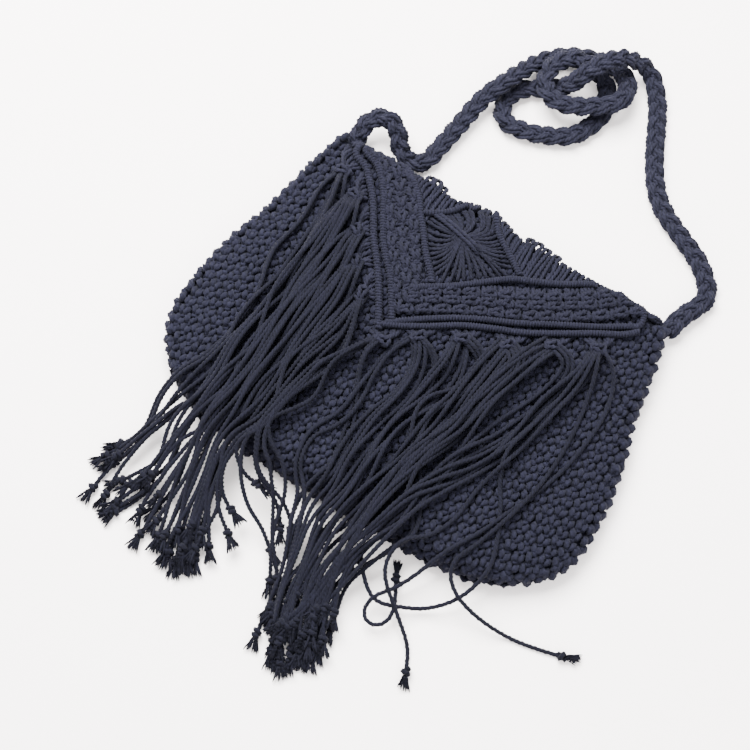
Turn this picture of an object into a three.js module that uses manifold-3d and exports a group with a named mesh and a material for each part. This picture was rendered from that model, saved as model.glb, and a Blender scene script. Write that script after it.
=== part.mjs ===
import * as THREE from 'three';
import { mergeVertices } from 'three/addons/utils/BufferGeometryUtils.js';
import Module from 'manifold-3d';

// A crossbody pouch of knotted cotton cord, lying on its back with the mouth towards +Y.
// Lengths are in millimetres. X runs across the bag, and the middle of the mouth is the point that
// every place below is counted from.

// The crocheted pouch
const PouchHeight = 195;
const PouchHalfWidth = 142;
const PouchThickness = 24;
const MouthThickness = 17;
const PouchWall = 5;
const PouchSeamHeight = 8;
const PouchBottomRound = 16;
const PouchBackRound = 11;
const PouchPlumpness = 3.2;
const PouchFullestShare = 0.4;

// The knotted flap and its fold
const FlapLeftMargin = 16;
const FlapRightMargin = 13;
const FlapDrop = 92;
const FlapTipShift = -27;
const FlapThickness = 3;
const FlapClearance = 0.8;
const FlapMargin = 3;
const FoldBulge = 8.5;
const FoldThickness = 3;
const FoldSlotCount = 13;
const FoldSlotWidth = 3.2;
const FoldEndTaper = 0.25;

// The cord ridges and the knot band between them
const RidgeDiameter = 5;
const InnerRidgeInset = 6.5;
const BandWidthTop = 32;
const BandWidthTip = 26;
const BandHoleLength = 4.6;
const BandHoleWidth = 3.4;
const BandHolePitch = 10.5;
const BandRowShares = [0.33, 0.7];
const BandHoleEnds = { from: 0.1, to: 0.9 };
const LeftBandEnds = { from: 0.2, to: 0.86 };
const RightBandEnds = { from: 0.12, to: 0.93 };

// The diamond in the middle of the flap
const DiamondCentreX = -10;
const DiamondCentreY = -20;
const DiamondHalfWidth = 34;
const DiamondHalfHeight = 33;
const DiamondTilt = 3;
const DiamondLean = 6;
const DiamondTopShare = 0.7;
const DiamondKnotShare = 0.26;
const DiamondSlotCount = 16;
const DiamondSlotWidth = 1.8;

// The open strands of the small triangles beside the diamond
const TriangleSlotWidth = 2;
const TriangleSlotPitch = 5.2;
const TriangleSlotMargin = 6;

// The fringe
const FringeLength = 240;
const FringeHeadWidth = 7;
const FringeHeadHeight = 5.4;
const FringeHeadOffset = 7.5;
const LockWidth = 10;
const LockThickness = 6.4;
const FringeClearance = 0.9;
const FringeSlope = 0.5;
const StrayDiameter = 3.4;

// The braided strap
const StrapWidth = 12.2;
const StrapThickness = 9.5;

const Gap = 0.3;

// Half width of the pouch as a share of PouchHalfWidth, by the share of the height below the mouth
const PouchOutline = [
  { down: 0.0, half: 0.824 }, { down: 0.14, half: 0.866 }, { down: 0.29, half: 0.9 },
  { down: 0.43, half: 0.955 }, { down: 0.56, half: 0.988 }, { down: 0.69, half: 1.0 },
  { down: 0.8, half: 0.972 }, { down: 0.885, half: 0.88 }, { down: 0.943, half: 0.75 },
  { down: 0.975, half: 0.61 }, { down: 1.0, half: 0.4 },
];
const MouthHalfWidth = PouchHalfWidth * PouchOutline[0].half;
const FlapLeft = MouthHalfWidth - FlapLeftMargin;
const FlapRight = MouthHalfWidth - FlapRightMargin;

// How far down the flap an arm of its V lies at a share of the way from the fold to the tip
const LeftArm = [
  { along: 0.0, down: 0.03 }, { along: 0.14, down: 0.1 }, { along: 0.25, down: 0.19 },
  { along: 0.36, down: 0.3 }, { along: 0.56, down: 0.525 }, { along: 0.82, down: 0.79 },
  { along: 1.0, down: 1.0 },
];
const RightArm = [
  { along: 0.0, down: 0.09 }, { along: 0.16, down: 0.29 }, { along: 0.29, down: 0.42 },
  { along: 0.43, down: 0.54 }, { along: 0.69, down: 0.725 }, { along: 0.85, down: 0.86 },
  { along: 1.0, down: 1.0 },
];

// Width and thickness of a lock of fringe as shares of the named sizes, by the share along it
const LockShape = [
  { along: 0.0, width: 0.72, thickness: 0.7 }, { along: 0.06, width: 0.85, thickness: 0.8 },
  { along: 0.3, width: 1.0, thickness: 0.95 }, { along: 0.8, width: 0.95, thickness: 0.9 },
  { along: 0.92, width: 1.05, thickness: 1.1 }, { along: 1.0, width: 0.55, thickness: 0.6 },
];

// Locks of fringe: where on the arm each starts, how far it has drifted across a quarter, half and three
// quarters of the way down and at its end, and how far it drops, as shares of FringeLength
const LeftLocks = [
  { along: 0.08, quarter: -0.032, half: -0.024, most: -0.067, end: -0.166, drop: 0.997 },
  { along: 0.12, quarter: 0.032, half: 0.016, most: -0.033, end: -0.079, drop: 1.077 },
  { along: 0.28, quarter: -0.016, half: -0.04, most: -0.048, end: -0.119, drop: 0.964 },
  { along: 0.32, quarter: 0.029, half: 0.013, most: -0.004, end: -0.003, drop: 1.011 },
  { along: 0.49, quarter: -0.025, half: -0.037, most: -0.025, end: -0.014, drop: 0.967 },
  { along: 0.53, quarter: 0.011, half: -0.002, most: 0.007, end: 0.051, drop: 0.978 },
  { along: 0.64, quarter: -0.032, half: -0.041, most: -0.027, end: 0.033, drop: 0.909 },
  { along: 0.68, quarter: -0.002, half: -0.013, most: -0.013, end: 0.05, drop: 0.882 },
  { along: 0.84, quarter: -0.034, half: -0.051, most: -0.062, end: -0.023, drop: 0.805 },
];
const RightLocks = [
  { along: 0.99, quarter: -0.06, half: -0.08, most: 0.01, end: 0.11, drop: 0.66 },
  { along: 0.99, quarter: 0.031, half: 0.049, most: 0.086, end: 0.131, drop: 0.771 },
  { along: 0.86, quarter: -0.053, half: -0.079, most: 0.021, end: 0.106, drop: 0.832 },
  { along: 0.86, quarter: 0.022, half: 0.023, most: 0.054, end: 0.165, drop: 0.852 },
  { along: 0.69, quarter: -0.013, half: -0.033, most: -0.019, end: 0.101, drop: 0.923 },
  { along: 0.51, quarter: -0.028, half: -0.079, most: -0.086, end: -0.036, drop: 0.947 },
  { along: 0.51, quarter: 0.01, half: -0.039, most: -0.046, end: -0.008, drop: 0.928 },
  { along: 0.33, quarter: -0.069, half: -0.114, most: -0.12, end: -0.074, drop: 0.947 },
  { along: 0.33, quarter: 0.019, half: -0.064, most: -0.097, end: -0.081, drop: 0.936 },
  { along: 0.16, quarter: -0.048, half: -0.145, most: -0.207, end: -0.251, drop: 1.025 },
];

// The one cord of the fringe that strays out past the right side, as shares of FringeLength from its head
const StrayRoute = [
  { across: 0.0, down: 0.0 }, { across: 0.02, down: 0.3 }, { across: 0.04, down: 0.6 },
  { across: 0.06, down: 0.66 }, { across: 0.15, down: 0.695 }, { across: 0.27, down: 0.685 },
  { across: 0.36, down: 0.65 }, { across: 0.4, down: 0.61 },
];

// The strap's route from the left end of the mouth to the right end, through its loops: across and up as
// shares of MouthHalfWidth, and the height of its middle as a share of StrapThickness
const StrapRoute = [
  { across: -0.914, up: 0.004, lift: 0.89 }, { across: -0.914, up: 0.068, lift: 0.95 },
  { across: -0.902, up: 0.162, lift: 1.68 }, { across: -0.829, up: 0.222, lift: 1.89 },
  { across: -0.748, up: 0.201, lift: 1.58 }, { across: -0.692, up: 0.141, lift: 1.05 },
  { across: -0.624, up: 0.120, lift: 0.58 }, { across: -0.551, up: 0.154, lift: 0.58 },
  { across: -0.526, up: 0.273, lift: 0.58 }, { across: -0.470, up: 0.615, lift: 1.11 },
  { across: -0.419, up: 0.722, lift: 1.62 }, { across: -0.376, up: 0.846, lift: 1.37 },
  { across: -0.312, up: 1.004, lift: 0.59 }, { across: -0.188, up: 1.107, lift: 0.58 },
  { across: -0.038, up: 1.158, lift: 0.58 }, { across: 0.073, up: 1.154, lift: 0.69 },
  { across: 0.154, up: 1.064, lift: 1.32 }, { across: 0.150, up: 0.953, lift: 1.62 },
  { across: -0.103, up: 0.791, lift: 1.62 }, { across: -0.214, up: 0.825, lift: 1.62 },
  { across: -0.248, up: 0.949, lift: 1.62 }, { across: -0.167, up: 1.055, lift: 1.62 },
  { across: -0.034, up: 1.064, lift: 1.37 }, { across: 0.056, up: 1.030, lift: 0.61 },
  { across: 0.107, up: 0.889, lift: 0.58 }, { across: 0.017, up: 0.688, lift: 0.58 },
  { across: -0.308, up: 0.581, lift: 0.58 }, { across: -0.372, up: 0.684, lift: 0.58 },
  { across: -0.320, up: 0.795, lift: 0.58 }, { across: -0.201, up: 0.880, lift: 0.58 },
  { across: -0.111, up: 0.923, lift: 1.47 }, { across: -0.047, up: 1.017, lift: 2.66 },
  { across: 0.051, up: 1.158, lift: 2.47 }, { across: 0.192, up: 1.231, lift: 0.89 },
  { across: 0.295, up: 1.145, lift: 0.58 }, { across: 0.594, up: 0.637, lift: 0.58 },
  { across: 0.974, up: 0.419, lift: 0.58 }, { across: 1.077, up: 0.291, lift: 0.58 },
  { across: 1.017, up: 0.103, lift: 0.84 }, { across: 1.000, up: 0.004, lift: 0.89 },
];

const wasm = await Module();
wasm.setup();

function solidOf(geometry) {
  const bare = geometry.clone();
  bare.deleteAttribute('normal');
  bare.deleteAttribute('uv');
  const merged = mergeVertices(bare, 1e-4);
  const vertProperties = new Float32Array(merged.attributes.position.array);
  const triVerts = new Uint32Array(merged.index.array);
  return new wasm.Manifold(new wasm.Mesh({ numProp: 3, vertProperties, triVerts }));
}

function geometryOf(solid) {
  const mesh = solid.getMesh();
  const geometry = new THREE.BufferGeometry();
  geometry.setAttribute('position', new THREE.BufferAttribute(mesh.vertProperties, 3));
  geometry.setIndex(new THREE.BufferAttribute(mesh.triVerts, 1));
  geometry.computeVertexNormals();
  return geometry;
}

function joined(geometries) {
  return geometries.map(solidOf).reduce((all, next) => all.add(next));
}

// Value of a column at a place between the rows of a table, on a cubic through the rows
function lookup(table, key, column, at) {
  const last = table.length - 1;
  let row = 0;
  while (row < last - 1 && at > table[row + 1][key]) row += 1;
  const slope = (index) => {
    const before = table[Math.max(index - 1, 0)];
    const after = table[Math.min(index + 1, last)];
    return (after[column] - before[column]) / (after[key] - before[key]);
  };
  const start = table[row];
  const end = table[row + 1];
  const span = end[key] - start[key];
  const t = Math.min(Math.max((at - start[key]) / span, 0), 1);
  const rise = t * t * (3 - 2 * t);
  return start[column] * (1 - rise) + end[column] * rise
    + span * t * (1 - t) * (slope(row) * (1 - t) - slope(row + 1) * t);
}

// A closed skin through rings of equal point count, flat at both ends
function loft(rings) {
  const count = rings[0].length;
  const position = rings.flat().flatMap((point) => [point.x, point.y, point.z]);
  const index = [];
  for (let ring = 0; ring < rings.length - 1; ring += 1) {
    for (let side = 0; side < count; side += 1) {
      const a = ring * count + side;
      const b = ring * count + ((side + 1) % count);
      index.push(a, b, a + count, b, b + count, a + count);
    }
  }
  const top = (rings.length - 1) * count;
  for (let side = 1; side < count - 1; side += 1) {
    index.push(0, side + 1, side);
    index.push(top, top + side, top + side + 1);
  }
  const geometry = new THREE.BufferGeometry();
  geometry.setAttribute('position', new THREE.Float32BufferAttribute(position, 3));
  geometry.setIndex(index);
  geometry.computeVertexNormals();
  return geometry;
}

// A closed sheet between an upper and a lower surface, both given over the unit square
function sheet(columns, rows, upper, lower) {
  const position = [];
  for (const surface of [upper, lower]) {
    for (let row = 0; row <= rows; row += 1) {
      for (let column = 0; column <= columns; column += 1) {
        const point = surface(column / columns, row / rows);
        position.push(point.x, point.y, point.z);
      }
    }
  }
  const at = (column, row) => row * (columns + 1) + column;
  const under = (columns + 1) * (rows + 1);
  const index = [];
  for (let row = 0; row < rows; row += 1) {
    for (let column = 0; column < columns; column += 1) {
      const a = at(column, row);
      const b = at(column + 1, row);
      const c = at(column, row + 1);
      const d = at(column + 1, row + 1);
      index.push(a, b, c, b, d, c, under + a, under + c, under + b, under + b, under + c, under + d);
    }
  }
  const wall = (a, b) => index.push(a, under + a, b, b, under + a, under + b);
  for (let column = 0; column < columns; column += 1) {
    wall(at(column, 0), at(column + 1, 0));
    wall(at(column + 1, rows), at(column, rows));
  }
  for (let row = 0; row < rows; row += 1) {
    wall(at(columns, row), at(columns, row + 1));
    wall(at(0, row + 1), at(0, row));
  }
  const geometry = new THREE.BufferGeometry();
  geometry.setAttribute('position', new THREE.Float32BufferAttribute(position, 3));
  geometry.setIndex(index);
  geometry.computeVertexNormals();
  return geometry;
}

function oval(width, height, sides) {
  const points = [];
  for (let side = 0; side < sides; side += 1) {
    const angle = (side / sides) * 2 * Math.PI;
    points.push(new THREE.Vector2((width / 2) * Math.cos(angle), (height / 2) * Math.sin(angle)));
  }
  return new THREE.Shape(points);
}

// A smooth route whose cross-section stays level with the surface that the bag lies on
class LevelRoute extends THREE.CatmullRomCurve3 {
  computeFrenetFrames(segments) {
    const frames = { tangents: [], normals: [], binormals: [] };
    for (let step = 0; step <= segments; step += 1) {
      const tangent = this.getTangentAt(step / segments);
      const binormal = tangent.clone().cross(new THREE.Vector3(0, 0, 1)).normalize();
      frames.tangents.push(tangent);
      frames.binormals.push(binormal);
      frames.normals.push(binormal.clone().cross(tangent));
    }
    return frames;
  }
}

function rod(points, width, height, sides, steps) {
  const extrudePath = new LevelRoute(points, false, 'centripetal');
  return new THREE.ExtrudeGeometry(oval(height, width, sides), { steps, bevelEnabled: false, extrudePath });
}

// The pouch

// Half width and heights of the pouch's skin at a depth below the mouth; inset 0 is the outside
function pouchSection(depth, inset) {
  const reach = PouchHeight - inset;
  const share = Math.min(Math.max((depth + inset / 2) / PouchHeight, 0), 1);
  const swell = Math.min(depth / (PouchFullestShare * PouchHeight), 1);
  const thickness = MouthThickness + (PouchThickness - MouthThickness) * swell * (2 - swell);
  const round = PouchBottomRound - inset;
  const left = Math.min(Math.max(reach - depth, 0) / round, 1);
  const closing = Math.sqrt(1 - (1 - left) ** 2);
  return {
    half: PouchHalfWidth * lookup(PouchOutline, 'down', 'half', share) - inset,
    low: inset + (PouchSeamHeight - inset) * (1 - closing),
    high: PouchSeamHeight + (thickness - inset - PouchSeamHeight) * closing,
  };
}

function crown(across) {
  return (1 - Math.min(Math.abs(across), 1) ** PouchPlumpness) ** (1 / PouchPlumpness);
}

function pouchRing(depth, inset, sides) {
  const { half, low, high } = pouchSection(depth, inset);
  const flat = 1 - PouchBackRound / half;
  const ring = [];
  for (let side = 0; side < 2 * sides; side += 1) {
    const across = Math.cos((side / sides) * Math.PI);
    const over = Math.max((Math.abs(across) - flat) / (1 - flat), 0);
    const z = side <= sides
      ? PouchSeamHeight + (high - PouchSeamHeight) * crown(across)
      : PouchSeamHeight - (PouchSeamHeight - low) * Math.sqrt(1 - over ** 2);
    ring.push(new THREE.Vector3(half * across, -depth, z));
  }
  return ring;
}

function pouchGeometry() {
  const sides = 12;
  const steps = 13;
  const depthAt = (step, reach) => reach * Math.sin((step / steps) * (Math.PI / 2));
  const inner = [];
  const outer = [];
  for (let step = 0; step <= steps; step += 1) {
    inner.unshift(pouchRing(depthAt(step, PouchHeight - PouchWall), PouchWall, sides));
    outer.push(pouchRing(depthAt(step, PouchHeight), 0, sides));
  }
  return geometryOf(solidOf(loft([...inner, ...outer])));
}

// Height of the pouch's front at a place on it, and 0 beside it
function frontHeight(x, y) {
  const depth = Math.max(-y, 0);
  const { half, high } = pouchSection(depth, 0);
  if (depth > PouchHeight || Math.abs(x) > half) return 0;
  return PouchSeamHeight + (high - PouchSeamHeight) * crown(x / half);
}

// The flap

// A place on an arm of the V, from its top at 0 to the tip at 1, moved in from the edge by an inset
function armPoint(side, along, inset) {
  const table = side < 0 ? LeftArm : RightArm;
  const topX = side < 0 ? -FlapLeft : FlapRight;
  const place = (at) => new THREE.Vector2(
    topX + (FlapTipShift - topX) * at,
    -FlapDrop * lookup(table, 'along', 'down', at),
  );
  const before = place(Math.max(along - 0.04, 0));
  const after = place(Math.min(along + 0.04, 1));
  const way = after.clone().sub(before).normalize();
  const inward = new THREE.Vector2(way.y * side, -way.x * side);
  return place(along).addScaledVector(inward, inset);
}

function bandWidth(along) {
  return BandWidthTop + (BandWidthTip - BandWidthTop) * along;
}

function onFlap(point, lift) {
  const base = frontHeight(point.x, Math.min(point.y, 0)) + FlapClearance + FlapThickness;
  return new THREE.Vector3(point.x, point.y, base + lift);
}

function armLine(side, from, to, inset, count) {
  const points = [];
  for (let step = 0; step <= count; step += 1) {
    const along = from + (to - from) * (step / count);
    points.push(armPoint(side, along, typeof inset === 'function' ? inset(along) : inset));
  }
  return points;
}

function ridge(points) {
  const sunk = points.map((point) => onFlap(point, 0));
  return rod(sunk, RidgeDiameter, RidgeDiameter, 6, 7);
}

const DiamondLeft = new THREE.Vector2(DiamondCentreX - DiamondHalfWidth, DiamondCentreY + DiamondTilt);
const DiamondRight = new THREE.Vector2(DiamondCentreX + DiamondHalfWidth, DiamondCentreY - DiamondTilt);
const DiamondTop = new THREE.Vector2(
  DiamondCentreX + DiamondLean,
  DiamondCentreY + DiamondTopShare * DiamondHalfHeight,
);

function between(start, end, share) {
  return start.clone().lerp(end, share);
}

function holeShape(centre, way, length, width) {
  const across = new THREE.Vector2(-way.y, way.x);
  const corner = (a, b) => centre.clone().addScaledVector(way, (a * length) / 2)
    .addScaledVector(across, (b * width) / 2);
  return new THREE.Shape([corner(1, 0), corner(0, 1), corner(-1, 0), corner(0, -1)]);
}

function bandHoles(side) {
  const holes = [];
  const { from, to } = BandHoleEnds;
  const length = armPoint(side, from, 0).distanceTo(armPoint(side, to, 0));
  const count = Math.round(length / BandHolePitch);
  for (let row = 0; row < BandRowShares.length; row += 1) {
    for (let hole = 0; hole < count - row; hole += 1) {
      const along = from + ((to - from) * (hole + (row + 1) / 2)) / count;
      const inset = InnerRidgeInset + (bandWidth(along) - InnerRidgeInset) * BandRowShares[row];
      const centre = armPoint(side, along, inset);
      const way = armPoint(side, along + 0.02, inset).sub(centre).normalize();
      if (centre.y < -BandHoleLength) holes.push(holeShape(centre, way, BandHoleLength, BandHoleWidth));
    }
  }
  return holes;
}

// Gaps between the straight strands of the two small triangles beside the diamond
function triangleSlots(low, high, lowerEdge) {
  const holes = [];
  const way = new THREE.Vector2(0, 1);
  for (let x = low; x <= high; x += TriangleSlotPitch) {
    const bottom = lowerEdge(x) + RidgeDiameter;
    const top = -FoldThickness;
    const length = top - bottom;
    const centre = new THREE.Vector2(x, (top + bottom) / 2);
    if (length > BandHoleLength) holes.push(holeShape(centre, way, length, TriangleSlotWidth));
  }
  return holes;
}

function diamondSlots() {
  const holes = [];
  for (let slot = 0; slot < DiamondSlotCount; slot += 1) {
    const angle = ((slot + 0.5) / DiamondSlotCount) * 2 * Math.PI;
    const way = new THREE.Vector2(Math.cos(angle), Math.sin(angle));
    const edge = 1 / (Math.abs(way.x) / DiamondHalfWidth + Math.abs(way.y) / DiamondHalfHeight);
    const ceiling = way.y > 0.1 ? (-DiamondCentreY - FoldThickness) / way.y : edge;
    const outer = Math.min(edge - RidgeDiameter, ceiling);
    const inner = DiamondKnotShare * edge;
    const centre = new THREE.Vector2(DiamondCentreX, DiamondCentreY).addScaledVector(way, (inner + outer) / 2);
    if (outer - inner > BandHoleLength) holes.push(holeShape(centre, way, outer - inner, DiamondSlotWidth));
  }
  return holes;
}

function edgeHeight(start, end) {
  return (x) => start.y + ((end.y - start.y) * (x - start.x)) / (end.x - start.x);
}

function flapOutline() {
  const left = armLine(-1, 0, 0.96, -FlapMargin, 9);
  const right = armLine(1, 0, 0.96, -FlapMargin, 9).reverse();
  const tip = new THREE.Vector2(FlapTipShift, -FlapDrop - 1.4 * FlapMargin);
  const start = new THREE.Vector2(left[0].x, -Gap);
  const end = new THREE.Vector2(right[right.length - 1].x, -Gap);
  return new THREE.Shape([start, ...left, tip, ...right, end]);
}

function prism(outline) {
  const depth = 4 * PouchThickness;
  return solidOf(new THREE.ExtrudeGeometry(outline, { depth, bevelEnabled: false, curveSegments: 4 }));
}

function flapHoles() {
  const leftTop = armPoint(-1, LeftBandEnds.from, bandWidth(LeftBandEnds.from));
  const rightTop = armPoint(1, RightBandEnds.from, bandWidth(RightBandEnds.from));
  const margin = TriangleSlotMargin;
  return [
    ...bandHoles(-1), ...bandHoles(1), ...diamondSlots(),
    ...triangleSlots(leftTop.x + margin, DiamondLeft.x + 2 * margin, edgeHeight(leftTop, DiamondLeft)),
    ...triangleSlots(DiamondTop.x + 2 * margin, DiamondRight.x, edgeHeight(DiamondTop, DiamondRight)),
    ...triangleSlots(DiamondRight.x + margin / 2, rightTop.x, edgeHeight(DiamondRight, rightTop)),
  ];
}

function flapGeometry() {
  const width = FlapLeft + FlapRight + 4 * FlapMargin;
  const depth = FlapDrop + 3 * FlapMargin;
  const place = (across, down, lift) => {
    const x = -FlapLeft - 2 * FlapMargin + width * across;
    const y = -depth * down;
    return new THREE.Vector3(x, y, frontHeight(x, y) + FlapClearance + lift);
  };
  const panel = sheet(18, 6, (u, v) => place(u, 1 - v, FlapThickness), (u, v) => place(u, 1 - v, 0));
  const ridges = [
    ridge(armLine(-1, 0, 1, 0, 7)), ridge(armLine(1, 0, 1, 0, 7)),
    ridge(armLine(-1, 0, 0.95, InnerRidgeInset, 7)), ridge(armLine(1, 0, 0.95, InnerRidgeInset, 7)),
    ridge(armLine(-1, LeftBandEnds.from, LeftBandEnds.to, bandWidth, 7)),
    ridge(armLine(1, RightBandEnds.from, RightBandEnds.to, bandWidth, 7)),
    ridge([DiamondLeft, between(DiamondLeft, DiamondTop, 0.5), DiamondTop]),
    ridge([DiamondTop, between(DiamondTop, DiamondRight, 0.5), DiamondRight]),
  ];
  const dressed = ridges.map(solidOf).reduce((all, next) => all.add(next), solidOf(panel));
  const holes = flapHoles().map(prism).reduce((all, next) => all.add(next));
  return geometryOf(dressed.intersect(prism(flapOutline())).subtract(holes));
}

// The fold that carries the flap from the back's top edge over the mouth to the front
function foldGeometry() {
  const left = -FlapLeft + Gap;
  const width = FlapLeft + FlapRight - 2 * Gap;
  const place = (across, turn, inset) => {
    const x = left + width * across;
    const top = frontHeight(x, 0) + FlapClearance + FlapThickness;
    const middle = top / 2;
    const angle = (turn - 0.5) * Math.PI;
    const bulge = FoldBulge * (1 - FoldEndTaper * Math.abs(2 * across - 1) ** 3);
    return new THREE.Vector3(
      x,
      Gap + (bulge - inset) * Math.cos(angle),
      middle + (middle - inset) * Math.sin(angle),
    );
  };
  const band = sheet(14, 6, (u, v) => place(1 - u, v, 0), (u, v) => place(1 - u, v, FoldThickness));
  const slots = [];
  for (let slot = 0; slot < FoldSlotCount; slot += 1) {
    const x = left + (width * (slot + 0.5)) / FoldSlotCount;
    const top = frontHeight(x, 0) + FlapClearance + FlapThickness;
    const box = new THREE.BoxGeometry(FoldSlotWidth, 4 * FoldBulge, top / 3);
    box.translate(x, FoldBulge, top / 2);
    slots.push(box);
  }
  return geometryOf(solidOf(band).subtract(joined(slots)));
}

// The fringe

// Heights of a slack lock over the pouch: it rests on the front, and slopes down past the edge
function restingHeights(points, width) {
  const checks = 6;
  const underneath = (point) => Math.max(
    frontHeight(point.x - width / 2, point.y),
    frontHeight(point.x, point.y),
    frontHeight(point.x + width / 2, point.y),
  );
  const samples = points.slice(1).flatMap((next, index) => (
    Array.from({ length: checks }, (_, check) => between(points[index], next, check / checks))
  ));
  const under = samples.map(underneath);
  const heights = points.map((point) => {
    const reaches = samples.map((sample, index) => under[index] - FringeSlope * point.distanceTo(sample));
    return Math.max(0, ...reaches);
  });
  for (let index = 0; index < points.length - 1; index += 1) {
    let lack = 0;
    for (let check = 1; check < checks; check += 1) {
      const share = check / checks;
      const chord = heights[index] * (1 - share) + heights[index + 1] * share;
      lack = Math.max(lack, under[index * checks + check] - chord);
    }
    heights[index] += lack;
    heights[index + 1] += lack;
  }
  return heights;
}

function lockRings(points, widthAt, thicknessAt) {
  const sides = 5;
  const heights = restingHeights(points, widthAt(0.5));
  return points.map((point, index) => {
    const share = index / (points.length - 1);
    const before = points[Math.max(index - 1, 0)];
    const after = points[Math.min(index + 1, points.length - 1)];
    const way = after.clone().sub(before).normalize();
    const across = new THREE.Vector2(-way.y, way.x);
    const middle = heights[index] + FringeClearance + thicknessAt(share) / 2;
    const ring = [];
    for (let side = 0; side < sides; side += 1) {
      const angle = (side / sides) * 2 * Math.PI;
      const shift = (widthAt(share) / 2) * Math.cos(angle);
      const lift = (thicknessAt(share) / 2) * Math.sin(angle);
      ring.push(new THREE.Vector3(point.x + across.x * shift, point.y + across.y * shift, middle + lift));
    }
    return ring;
  });
}

function lock(side, row) {
  const head = armPoint(side, row.along, -FringeHeadOffset);
  const drifts = [
    { down: 0, drift: 0 }, { down: 0.25, drift: row.quarter }, { down: 0.5, drift: row.half },
    { down: 0.75, drift: row.most }, { down: 1, drift: row.end },
  ];
  const steps = 7;
  const points = [];
  for (let step = 0; step <= steps; step += 1) {
    const share = step / steps;
    points.push(new THREE.Vector2(
      head.x + FringeLength * lookup(drifts, 'down', 'drift', share),
      head.y - FringeLength * row.drop * share,
    ));
  }
  const widthAt = (share) => LockWidth * lookup(LockShape, 'along', 'width', share);
  const thicknessAt = (share) => LockThickness * lookup(LockShape, 'along', 'thickness', share);
  return loft(lockRings(points, widthAt, thicknessAt));
}

function strayCord() {
  const head = armPoint(1, 0.2, -FringeHeadOffset);
  const route = StrayRoute.map((row) => new THREE.Vector3(
    head.x + FringeLength * row.across,
    head.y - FringeLength * row.down,
    0,
  ));
  const curve = new THREE.CatmullRomCurve3(route, false, 'centripetal');
  const points = curve.getSpacedPoints(16).map((point) => new THREE.Vector2(point.x, point.y));
  return loft(lockRings(points, () => StrayDiameter, () => StrayDiameter));
}

function fringeHead(side, from, to) {
  const points = armLine(side, from, to, -FringeHeadOffset, 8);
  const lifted = points.map((point) => {
    const height = frontHeight(point.x, point.y) + FringeClearance + FringeHeadHeight / 2;
    return new THREE.Vector3(point.x, point.y, height);
  });
  return rod(lifted, FringeHeadWidth, FringeHeadHeight, 6, 10);
}

const leftFringe = () => geometryOf(joined([
  fringeHead(-1, 0.01, 0.93), ...LeftLocks.map((row) => lock(-1, row)),
]));
const rightFringe = () => geometryOf(joined([
  fringeHead(1, 0.04, 1), ...RightLocks.map((row) => lock(1, row)), strayCord(),
]));

// The strap
function strapGeometry() {
  const points = StrapRoute.map((row) => new THREE.Vector3(
    MouthHalfWidth * row.across,
    MouthHalfWidth * row.up,
    StrapThickness * row.lift,
  ));
  return rod(points, StrapWidth, StrapThickness, 8, 80);
}

const cotton = (name, color) => new THREE.MeshStandardMaterial({ name, color, roughness: 0.95, metalness: 0 });

const bag = new THREE.Group();
function add(name, geometry, material) {
  const mesh = new THREE.Mesh(geometry, material);
  mesh.name = name;
  bag.add(mesh);
  return mesh;
}

const pouch = add('pouch', pouchGeometry(), cotton('crochet', 0x24243a));
const flap = add('flap', flapGeometry(), cotton('macrame', 0x26263d));
const fold = add('flap_fold', foldGeometry(), cotton('macrame_fold', 0x26263d));
const fringeLeft = add('fringe_left', leftFringe(), cotton('fringe_left', 0x222238));
const fringeRight = add('fringe_right', rightFringe(), cotton('fringe_right', 0x222238));
add('strap', strapGeometry(), cotton('braid', 0x25253c));

// The origin is on the surface below the middle of everything but the strap
const reach = new THREE.Box3();
for (const mesh of [pouch, flap, fold, fringeLeft, fringeRight]) reach.expandByObject(mesh);
const middle = reach.getCenter(new THREE.Vector3());
bag.position.set(-middle.x, -middle.y, 0);

export default bag;
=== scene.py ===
"""A small crossbody bag of knotted navy cotton cord, lying on its back: its camera, its pieces in the
order they are made, and the pale surface it lies on. Lengths are millimetres from the middle of the
pouch's mouth, X across the bag, Y up out of the mouth and Z out of its front, until a piece is made."""

import bpy
import numpy as np
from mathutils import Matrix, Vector


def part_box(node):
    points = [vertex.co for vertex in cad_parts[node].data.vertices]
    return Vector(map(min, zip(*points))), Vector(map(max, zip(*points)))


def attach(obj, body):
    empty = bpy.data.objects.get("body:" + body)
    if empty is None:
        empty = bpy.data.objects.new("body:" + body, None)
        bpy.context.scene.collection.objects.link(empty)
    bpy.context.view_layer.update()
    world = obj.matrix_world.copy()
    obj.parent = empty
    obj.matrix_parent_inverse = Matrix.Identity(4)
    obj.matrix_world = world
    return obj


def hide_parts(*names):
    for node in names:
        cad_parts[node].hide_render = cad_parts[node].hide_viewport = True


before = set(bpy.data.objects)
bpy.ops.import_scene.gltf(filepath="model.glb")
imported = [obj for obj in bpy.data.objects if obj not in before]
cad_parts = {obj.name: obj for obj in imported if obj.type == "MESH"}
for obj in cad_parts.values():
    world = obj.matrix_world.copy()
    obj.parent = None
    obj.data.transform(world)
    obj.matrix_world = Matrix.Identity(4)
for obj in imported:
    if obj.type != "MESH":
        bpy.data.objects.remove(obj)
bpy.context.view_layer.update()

# The camera stands over the bag's lower right and looks down at 74 degrees, turned 32 degrees to the
# bag's own length, as the photograph was taken.
low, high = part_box("pouch")
mouth = np.array([(low.x + high.x) / 2, high.y, 0.0])


def from_mouth(points):
    """Millimetres from the middle of the mouth as metres in the frame: a thousandth of each, plus the
    mouth's own place."""
    return mouth + np.asarray(points, float) / 1000


camera = bpy.data.objects.new("camera", bpy.data.cameras.new("camera"))
bpy.context.scene.collection.objects.link(camera)
camera.location = from_mouth((137.9, -360.3, 1020.9))
aim = Vector(from_mouth((-18.1, -112.6, 0.0))) - camera.location
camera.rotation_euler = aim.to_track_quat("-Z", "Y").to_euler()
camera.data.lens = 85
camera.data.sensor_width = 36
bpy.context.scene.camera = camera

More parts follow.
